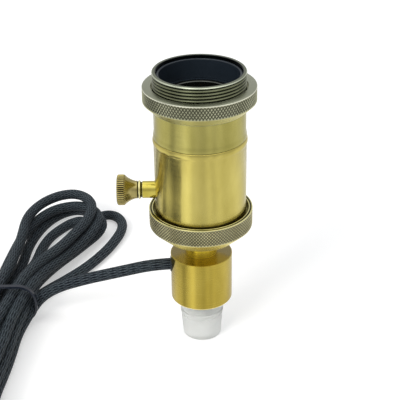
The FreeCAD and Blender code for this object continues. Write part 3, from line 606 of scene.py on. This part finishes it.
KNOB_AXIS = centre("switch_knob")[2]
SHARP_ANGLE = 32         # degrees between faces, from which their edge is drawn sharp


def rise(radius, low, high, step):
    """Points up a wall at equal steps."""
    count = round(abs(high - low) / step)
    return [(radius, low + (high - low) * number / count) for number in range(count + 1)]


def sweep(outline, segments, relief, along_x):
    """Corners, in metres, their depth in the relief, and faces of an outline swept round its axis."""
    vertices, depths, faces = [], [], []
    count = len(outline)
    for step in range(segments):
        angle = FULL_TURN * step / segments
        for radius, height in outline:
            depth = relief(radius, height, angle) if relief else 0.0
            depths.append(depth)
            wide, deep = (radius - depth) * math.cos(angle), (radius - depth) * math.sin(angle)
            place = (-height, wide, KNOB_AXIS + deep) if along_x else (wide, deep, height)
            vertices.append([value * MM for value in place])
        start, following = step * count, (step + 1) % segments * count
        for number in range(count):
            after = (number + 1) % count
            faces.append((start + number, following + number, following + after, start + after))
    return vertices, depths, faces


def open_hole(shape, radius):
    """Cut a round hole on the knob's axis through both sides of the wall, and close it between them."""
    inside = [corner for corner in shape.verts
              if corner.co.x < 0 and math.hypot(corner.co.y, corner.co.z - KNOB_AXIS * MM) < radius * MM]
    bmesh.ops.delete(shape, geom=inside, context="VERTS")
    bmesh.ops.bridge_loops(shape, edges=[edge for edge in shape.edges if edge.is_boundary])


def turned_piece(name, outline, material, body, segments, relief=None, along_x=False, hole=None):
    """Piece swept round +Z, or -X for the knob, from a closed outline, in place of the node of its name.

    The outline is a list of (radius, height) and the hole is the radius of a hole through the wall.
    """
    vertices, depths, faces = sweep(outline, segments, relief, along_x)
    mesh = bpy.data.meshes.new(name)
    mesh.from_pydata(vertices, [], faces)
    if relief:
        deepest = max(depths)
        attribute = mesh.attributes.new("sunk", "FLOAT", "POINT")
        attribute.data.foreach_set("value", [depth / deepest for depth in depths])
    shape = bmesh.new()
    shape.from_mesh(mesh)
    if hole:
        open_hole(shape, hole)
    bmesh.ops.recalc_face_normals(shape, faces=shape.faces)
    shape.to_mesh(mesh)
    shape.free()
    mesh.shade_smooth()
    mesh.set_sharp_from_angle(angle=math.radians(SHARP_ANGLE))
    mesh.materials.append(material)
    piece = link_object("turned_" + name, mesh)
    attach(piece, body)
    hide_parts(name)


def outer_size(node_name):
    """Radius, foot and top of a CAD piece turned about +Z."""
    low, high = corners(node_name)
    return high[0], low[2], high[2]


def make_shade_ring():
    """Ring with a cone below, a diamond knurl round it and a step in its mouth."""
    face, foot, top = outer_size("shade_ring")
    bore, mouth = 19.76, 20.25
    cone_top, step = foot + 3.5, top - 1.2
    outline = ([(bore, foot), (mouth + 0.05, foot), (face, cone_top)]
               + rise(face, cone_top + 0.2, top - 0.35, 0.19)
               + [(face, top - 0.25), (face - 0.08, top - 0.08), (face - 0.25, top), (mouth + 0.05, top),
                  (mouth, top - 0.05), (mouth, step), (bore, step)])
    knurl = diamond_knurl(face, cone_top + 0.1, top - 0.3, starts=110, pitch=2.0, depth=0.32)
    turned_piece("shade_ring", outline, knurled_brass, "shade_ring", 880, knurl)


def make_base_cap():
    """Cap with a collar, a cone and a knurled wall, whose rim has a groove."""
    face, foot, top = outer_size("base_cap")
    bore, collar = 5.0, 7.0
    cone_foot, floor, wall_foot = 52.1, 54.5, 57.9
    seat, lining, ledge = 17.35, 19.85, top - 2.0
    underside = [(bore, foot), (collar, foot), (collar, cone_foot - 0.5), (collar + 0.5, cone_foot),
                 (16.1, cone_foot), (16.4, cone_foot + 0.1), (face - 0.1, wall_foot)]
    rim = [(face, top - 0.3), (face - 0.15, top - 0.05), (face - 0.4, top), (22.1, top - 0.1), (22.05, top - 0.5),
           (21.55, top - 0.5), (21.5, top - 0.1), (21.35, top), (21.05, top), (20.9, top - 0.15)]
    inside = [(20.9, ledge), (lining, ledge), (lining, wall_foot), (seat, wall_foot), (seat, floor), (bore, floor)]
    outline = underside + rise(face, wall_foot + 0.2, top - 0.45, 0.19) + rim + inside
    knurl = diamond_knurl(face, wall_foot + 0.1, top - 0.35, starts=104, pitch=1.5, depth=0.32)
    turned_piece("base_cap", outline, cap_brass, "holder", 832, knurl)


def make_upper_sleeve():
    """Sleeve with a swelling over the seam, and the shade thread up to its lip."""
    swelling, foot, top = outer_size("upper_sleeve")
    inside, skirt, wall, thread_radius = 18.05, 18.75, 19.5, 19.7
    seam, thread_foot = 99.7, 114.5
    outline = ([(inside, foot), (skirt, foot), (skirt, seam), (19.55, seam), (19.82, 99.98), (swelling, 100.3),
                (19.83, 100.9), (19.72, 101.6), (19.58, 102.2), (wall, 102.8), (wall, thread_foot - 0.2)]
               + rise(thread_radius, thread_foot, 128.15, 0.14)
               + [(thread_radius, top - 0.4), (19.35, top), (18.2, top), (inside, top - 0.15)])
    thread = helical_thread(thread_radius - 0.1, thread_radius + 0.1, thread_foot - 0.1, top - 0.5,
                            pitch=1.4, depth=0.5, edge=0.3)
    turned_piece("upper_sleeve", outline, sleeve_brass, "holder", 256, thread)


def make_lower_shell():
    """Shell with a rolled bead at its top and the switch's hole in its side."""
    bead, foot, top = outer_size("lower_shell")
    inside, wall, bead_height, bead_half = 18.8, 19.8, 98.2, 1.5
    hole_radius, fine_half = 3.1, 4.2
    low, high = KNOB_AXIS - fine_half, KNOB_AXIS + fine_half
    outline = ([(inside, foot)] + rise(inside, low, high, 0.35)
               + [(inside, top - 0.1), (inside + 0.05, top), (wall - 0.1, top), (wall, top - 0.08)]
               + [(wall + (bead - wall) * (1 - ((height - bead_height) / bead_half) ** 2), height)
                  for height in (99.45, 99.2, 98.9, 98.6, 98.2, 97.8, 97.5, 97.2, 96.95, 96.7)]
               + rise(wall, high, low, 0.35) + [(wall, foot + 0.15), (wall - 0.15, foot)])
    turned_piece("lower_shell", outline, brushed_brass, "holder", 360, hole=hole_radius)


def make_screw_shell():
    """Thin E27 shell, threaded through, with a flange at its mouth."""
    flange, foot, top = outer_size("screw_shell")
    inside, outside, floor = 13.35, 13.7, 96.3
    thread_foot, thread_top = 97.0, 115.6
    inner = ([(9.5, foot), (9.5, floor), (inside - 0.35, floor), (inside, floor + 0.35)]
             + rise(inside, thread_foot, thread_top, 0.25) + [(inside, top - 0.3), (inside + 0.3, top)])
    outer = ([(flange, top), (flange, top - 0.5), (outside, top - 0.5)]
             + rise(outside, thread_top, thread_foot, 0.25) + [(outside, foot)])
    thread = helical_thread(inside - 0.05, outside + 0.05, thread_foot + 0.2, thread_top - 0.2,
                            pitch=3.629, depth=1.05, edge=0.8)
    turned_piece("screw_shell", inner + outer, nickel_painted_dark, "holder", 192, thread)


def make_switch_knob():
    """Knob along -X: a hub, a ring and a groove at its foot, a flare, and a serrated rim round a flat face."""
    low, high = corners("switch_knob")
    rim, end = high[2] - KNOB_AXIS, -low[0]
    bore, hub, ring, throat = 1.75, 3.35, 4.05, 3.88
    foot, bore_end = 25.5, 33.6
    stem = [(bore, foot), (hub, foot), (hub + 0.05, foot + 0.45), (throat, foot + 0.5), (ring, 26.25),
            (ring, 26.65), (throat, 26.9), (3.6, 27.0), (3.6, 27.2), (throat, 27.35), (throat, 28.1)]
    flare = [(4.18, 29.1), (4.6, 30.1), (5.2, 31.15), (5.9, 32.1), (6.3, 32.6)]
    face = [(rim - 0.1, end - 0.4), (6.3, end - 0.15), (5.9, end), (0.02, end), (0.02, bore_end), (bore, bore_end)]
    outline = stem + flare + rise(rim, 33.05, end - 0.8, 0.23) + face
    knurl = straight_knurl(rim, 32.5, end - 0.05, starts=45, depth=0.45)
    turned_piece("switch_knob", outline, knob_brass, "knob", 360, knurl, along_x=True)


make_shade_ring()
make_base_cap()
make_upper_sleeve()
make_lower_shell()
make_screw_shell()
make_switch_knob()

bpy.context.scene.view_settings.view_transform = "Standard"
